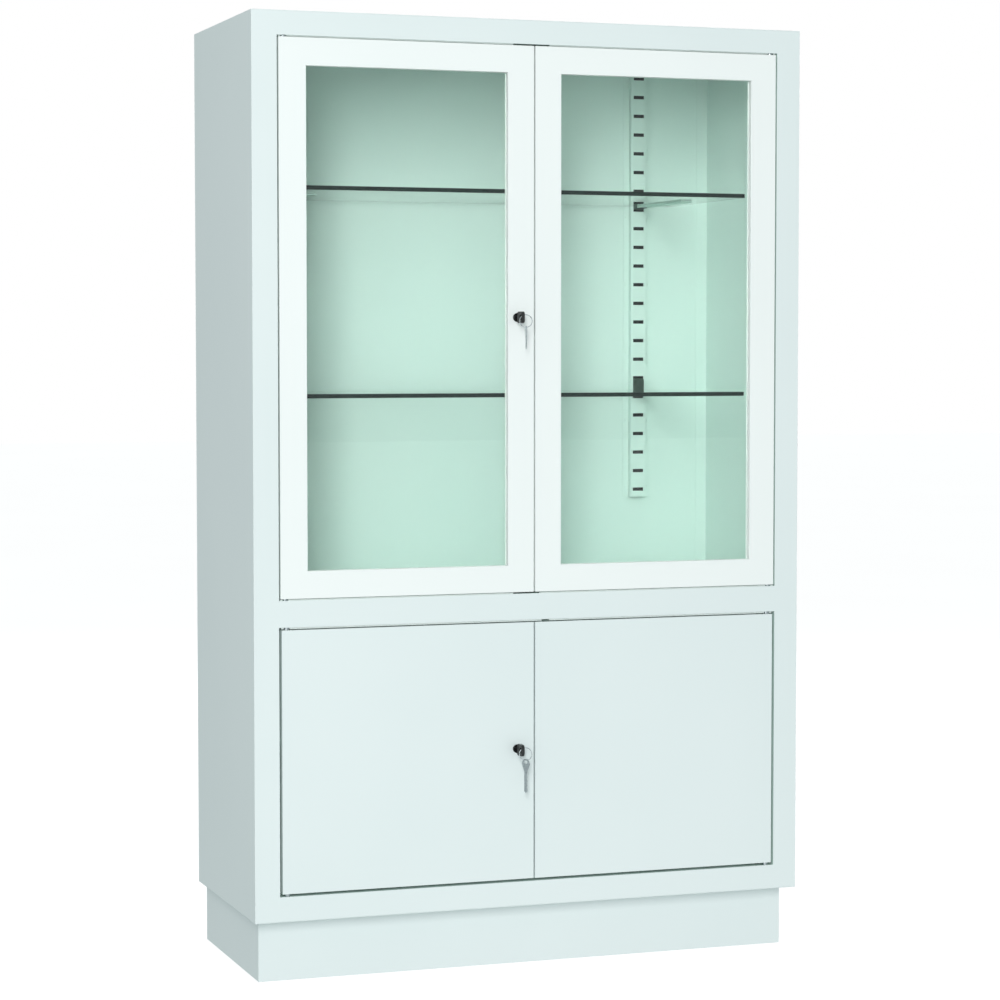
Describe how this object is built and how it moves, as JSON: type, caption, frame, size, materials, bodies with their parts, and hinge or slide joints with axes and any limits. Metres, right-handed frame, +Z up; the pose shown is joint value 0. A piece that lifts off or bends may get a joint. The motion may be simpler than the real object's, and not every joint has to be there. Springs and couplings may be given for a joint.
{
  "type": "glass door medical cabinet",
  "caption": "White sheet-steel medical cabinet on a plinth: glass doors over glass shelves on slotted rails, solid cupboard doors below, cam locks with keys.",
  "frame": {"origin": "centre of the footprint, hanging keys included, at floor level", "axes": "+X to the right seen from the front, +Y from the front to the back, +Z up"},
  "size_m": [1.1, 0.4912, 1.8],
  "materials": {
    "powder_coat": "satin white powder coat",
    "door_glass": "clear float glass with a green cast",
    "shelf_glass": "clear float glass with dark green edges",
    "glazing_rubber": "matt pale grey",
    "zinc_plate": "dull zinc plate",
    "bright_steel": "bright nickel plate",
    "black_plastic": "moulded satin black"
  },
  "bodies": {
    "cabinet": {"front_frame": "powder_coat", "left_side_panel": "powder_coat", "right_side_panel": "powder_coat", "top_panel": "powder_coat", "base_panel": "powder_coat", "back_panel": "powder_coat", "middle_deck": "powder_coat", "bottom_deck": "powder_coat", "plinth": "powder_coat", "left_slotted_rail": "powder_coat", "right_slotted_rail": "powder_coat", "upper_shelf_left_bracket": "zinc_plate", "upper_shelf_right_bracket": "zinc_plate", "lower_shelf_left_bracket": "zinc_plate", "lower_shelf_right_bracket": "zinc_plate", "upper_glass_shelf": "shelf_glass", "lower_glass_shelf": "shelf_glass", "cupboard_shelf": "powder_coat", "left_cupboard_shelf_support": "powder_coat", "right_cupboard_shelf_support": "powder_coat", "upper_left_top_pivot_pin": "bright_steel", "upper_left_bottom_pivot_pin": "bright_steel", "upper_right_top_pivot_pin": "bright_steel", "upper_right_bottom_pivot_pin": "bright_steel", "lower_left_top_pivot_pin": "bright_steel", "lower_left_bottom_pivot_pin": "bright_steel", "lower_right_top_pivot_pin": "bright_steel", "lower_right_bottom_pivot_pin": "bright_steel", "upper_top_catch": "black_plastic", "upper_bottom_catch": "black_plastic", "lower_top_catch": "black_plastic"},
    "upper_left_door": {"left_glass_door_frame": "powder_coat", "left_glazing_seal": "glazing_rubber", "left_glass_pane": "door_glass", "left_glazing_frame": "powder_coat", "upper_lock_housing": "bright_steel", "upper_lock_nut": "zinc_plate", "upper_key_ring": "bright_steel"},
    "upper_right_door": {"right_glass_door_frame": "powder_coat", "right_glazing_seal": "glazing_rubber", "right_glass_pane": "door_glass", "right_glazing_frame": "powder_coat"},
    "lower_left_door": {"left_cupboard_door_shell": "powder_coat", "left_cupboard_door_liner": "powder_coat", "lower_lock_housing": "bright_steel", "lower_lock_nut": "zinc_plate", "lower_key_ring": "bright_steel"},
    "lower_right_door": {"right_cupboard_door_shell": "powder_coat", "right_cupboard_door_liner": "powder_coat"},
    "upper_lock": {"upper_lock_plug": "bright_steel", "upper_lock_cam": "zinc_plate", "upper_key": "black_plastic"},
    "lower_lock": {"lower_lock_plug": "bright_steel", "lower_lock_cam": "zinc_plate", "lower_key": "black_plastic"},
    "upper_spare_key": {"upper_spare_key": "bright_steel"},
    "lower_spare_key": {"lower_spare_key": "bright_steel"},
    "upper_bolt": {"upper_door_bolt": "zinc_plate"},
    "lower_bolt": {"lower_door_bolt": "zinc_plate"}
  },
  "joints": [
    {"name": "upper_left_door_hinge", "type": "hinge", "parent": "cabinet", "child": "upper_left_door", "pos_m": [-0.489, -0.19736, 1.236], "axis": [0, 0, -1], "range_deg": [0, 110]},
    {"name": "upper_right_door_hinge", "type": "hinge", "parent": "cabinet", "child": "upper_right_door", "pos_m": [0.489, -0.19736, 1.236], "axis": [0, 0, 1], "range_deg": [0, 110]},
    {"name": "lower_left_door_hinge", "type": "hinge", "parent": "cabinet", "child": "lower_left_door", "pos_m": [-0.487, -0.19736, 0.416], "axis": [0, 0, -1], "range_deg": [0, 110]},
    {"name": "lower_right_door_hinge", "type": "hinge", "parent": "cabinet", "child": "lower_right_door", "pos_m": [0.487, -0.19736, 0.416], "axis": [0, 0, 1], "range_deg": [0, 110]},
    {"name": "upper_lock_turn", "type": "hinge", "parent": "upper_left_door", "child": "upper_lock", "pos_m": [-0.0355, -0.20436, 1.241], "axis": [0, -1, 0], "range_deg": [0, 90]},
    {"name": "lower_lock_turn", "type": "hinge", "parent": "lower_left_door", "child": "lower_lock", "pos_m": [-0.0355, -0.20436, 0.421], "axis": [0, -1, 0], "range_deg": [0, 90]},
    {"name": "upper_spare_key_swing", "type": "hinge", "parent": "upper_left_door", "child": "upper_spare_key", "pos_m": [-0.02908, -0.2367, 1.22237], "axis": [0.9825, -0.1862, 0], "range_deg": [-20, 20]},
    {"name": "lower_spare_key_swing", "type": "hinge", "parent": "lower_left_door", "child": "lower_spare_key", "pos_m": [-0.02908, -0.2367, 0.40237], "axis": [0.9825, -0.1862, 0], "range_deg": [-20, 20]},
    {"name": "upper_bolt_slide", "type": "slide", "parent": "upper_right_door", "child": "upper_bolt", "axis": [0, 0, 1], "range_m": [0, 0.012]},
    {"name": "lower_bolt_slide", "type": "slide", "parent": "lower_right_door", "child": "lower_bolt", "axis": [0, 0, 1], "range_m": [0, 0.012]}
  ]
}
